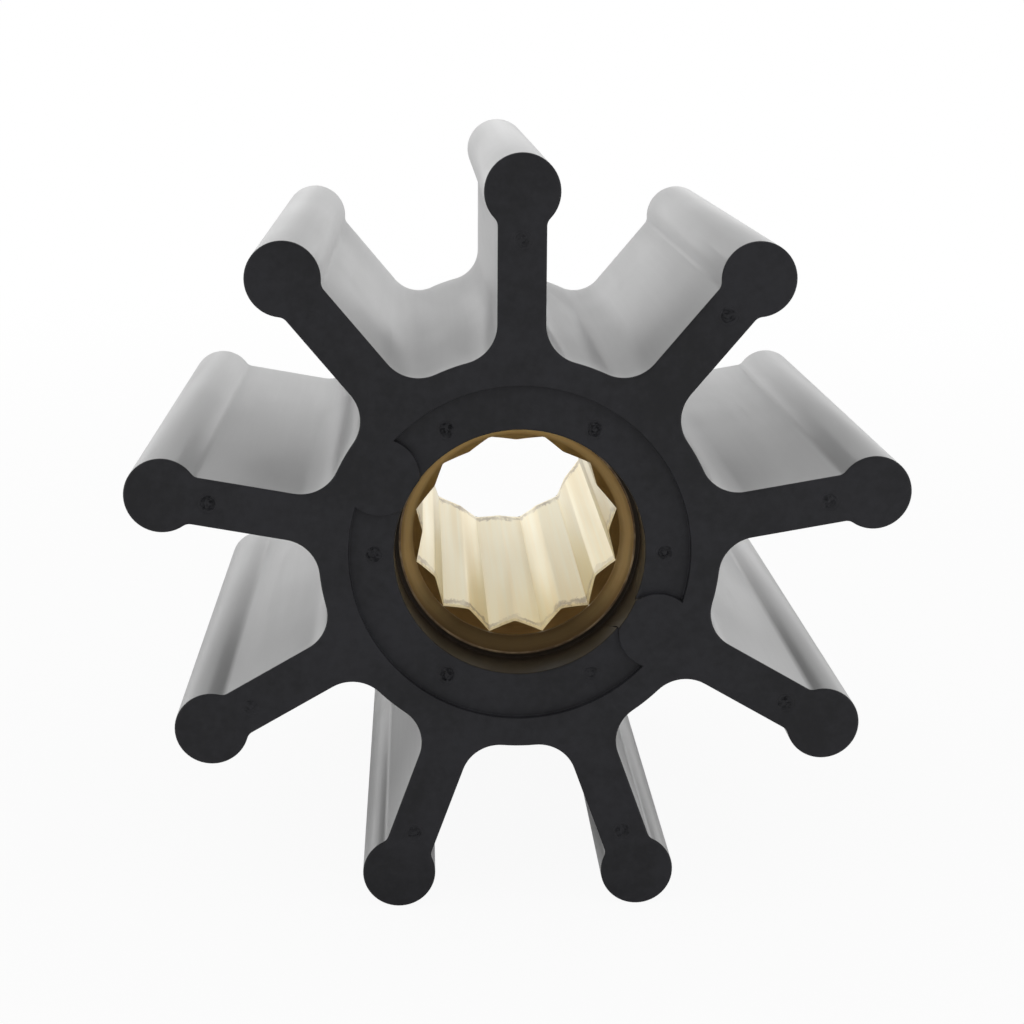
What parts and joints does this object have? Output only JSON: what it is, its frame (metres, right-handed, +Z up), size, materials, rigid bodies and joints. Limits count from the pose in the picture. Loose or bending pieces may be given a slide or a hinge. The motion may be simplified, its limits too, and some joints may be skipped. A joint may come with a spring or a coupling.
{
  "type": "pump impeller",
  "caption": "Flexible rubber pump impeller: straight radial blades with round tip beads on a thick hub, bonded to a brass insert with a splined bore.",
  "frame": {"origin": "on the bore axis, half way between the two end faces", "axes": "+Y along the bore axis, from the front end face to the rear one; +Z up along one blade; +X to the right, seen from the front"},
  "size_m": [0.0938, 0.0814, 0.0926],
  "materials": {
    "rubber": "moulded, satin on the blades and matt on the end faces",
    "brass": "machined"
  },
  "bodies": {
    "root": {"rubber_body": "rubber", "brass_insert": "brass"}
  },
  "joints": []
}
